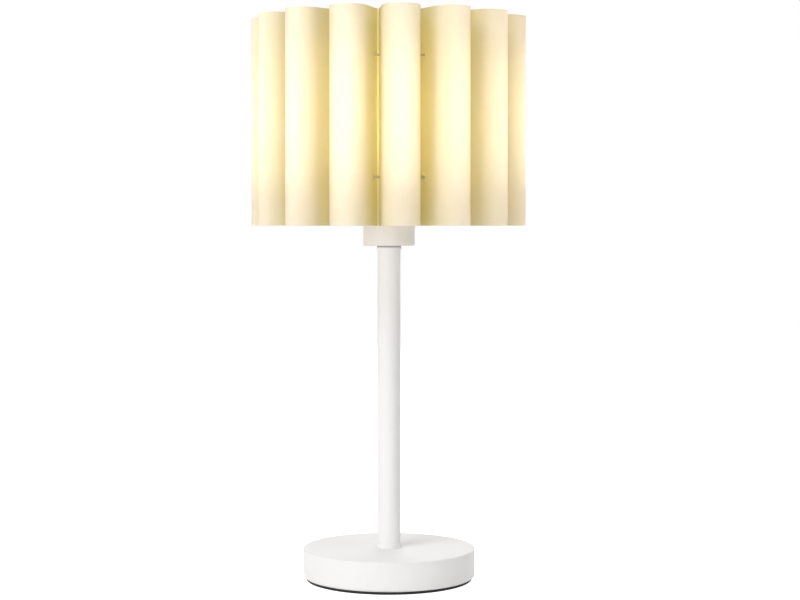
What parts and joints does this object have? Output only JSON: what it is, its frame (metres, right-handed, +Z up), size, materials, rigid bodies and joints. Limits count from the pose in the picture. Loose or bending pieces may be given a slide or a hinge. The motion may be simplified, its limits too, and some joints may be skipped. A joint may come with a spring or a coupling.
{
  "type": "table lamp",
  "caption": "Table lamp with a round weighted base, a plain stem, a cupped lampholder, a screw-in bulb and a shade of upright fluted panels threaded on two wire rings.",
  "frame": {"origin": "centre of the underside of the pad, on the lamp's axis", "axes": "+Z up along the stem; -Y to the picture's viewer; +X to the viewer's right"},
  "size_m": [0.2379, 0.2388, 0.489],
  "materials": {
    "pad_foam": "matt closed-cell foam",
    "white_steel": "satin white powder coat",
    "cast_iron": "as cast",
    "white_plastic": "satin moulded",
    "zinc_steel": "zinc plated",
    "porcelain": "glazed insulating block",
    "brass": "bright",
    "white_wire": "white coated wire",
    "shade_laminate": "translucent cream laminate",
    "cap_metal": "nickel plated",
    "cap_insulator": "black vitrite",
    "bulb_white": "smooth moulded",
    "opal": "opal, diffusing",
    "board_white": "white coated aluminium core",
    "led_yellow": "phosphor",
    "board_green": "solder resist"
  },
  "bodies": {
    "stand": {"base_pad": "pad_foam", "base_cover": "white_steel", "base_weight": "cast_iron", "cable_grommet": "white_plastic", "base_washer": "zinc_steel", "base_nut": "zinc_steel", "threaded_tube": "zinc_steel", "lower_collar": "white_steel", "stem_tube": "white_steel", "upper_collar": "white_steel", "holder_cup": "white_steel", "cup_locknut": "zinc_steel", "lampholder_cap": "white_plastic", "lampholder_skirt": "white_plastic", "contact_block": "porcelain", "thread_shell": "brass", "centre_contact": "brass", "wire_terminals": "brass", "terminal_screws": "zinc_steel", "shade_ring_nut": "white_plastic", "shade_spider": "white_wire", "lower_ring": "white_wire", "upper_ring": "white_wire", "ring_ferrules": "zinc_steel", "flute_panel_01": "shade_laminate", "flute_panel_02": "shade_laminate", "flute_panel_03": "shade_laminate", "flute_panel_04": "shade_laminate", "flute_panel_05": "shade_laminate", "flute_panel_06": "shade_laminate", "flute_panel_07": "shade_laminate", "flute_panel_08": "shade_laminate", "flute_panel_09": "shade_laminate", "flute_panel_10": "shade_laminate", "flute_panel_11": "shade_laminate", "flute_panel_12": "shade_laminate", "flute_panel_13": "shade_laminate", "flute_panel_14": "shade_laminate", "flute_panel_15": "shade_laminate"},
    "bulb_tip": {"bulb_tip_contact": "cap_metal"},
    "bulb": {"bulb_insulator": "cap_insulator", "bulb_screw_cap": "cap_metal", "bulb_housing": "bulb_white", "bulb_dome": "opal", "led_board": "board_white", "led_chips": "led_yellow", "driver_board": "board_green"}
  },
  "joints": [
    {"name": "bulb_lift", "type": "slide", "parent": "stand", "child": "bulb_tip", "axis": [0, 0, 1], "range_m": [0, 0.0164]},
    {"name": "bulb_turn", "type": "hinge", "parent": "bulb_tip", "child": "bulb", "pos_m": [0, 0, 0.35], "axis": [0, 0, 1], "range_deg": [0, 1620]}
  ],
  "couplings": [
    {"joint": "bulb_lift", "follows": "bulb_turn", "m_per_rad": 0.00057758}
  ]
}
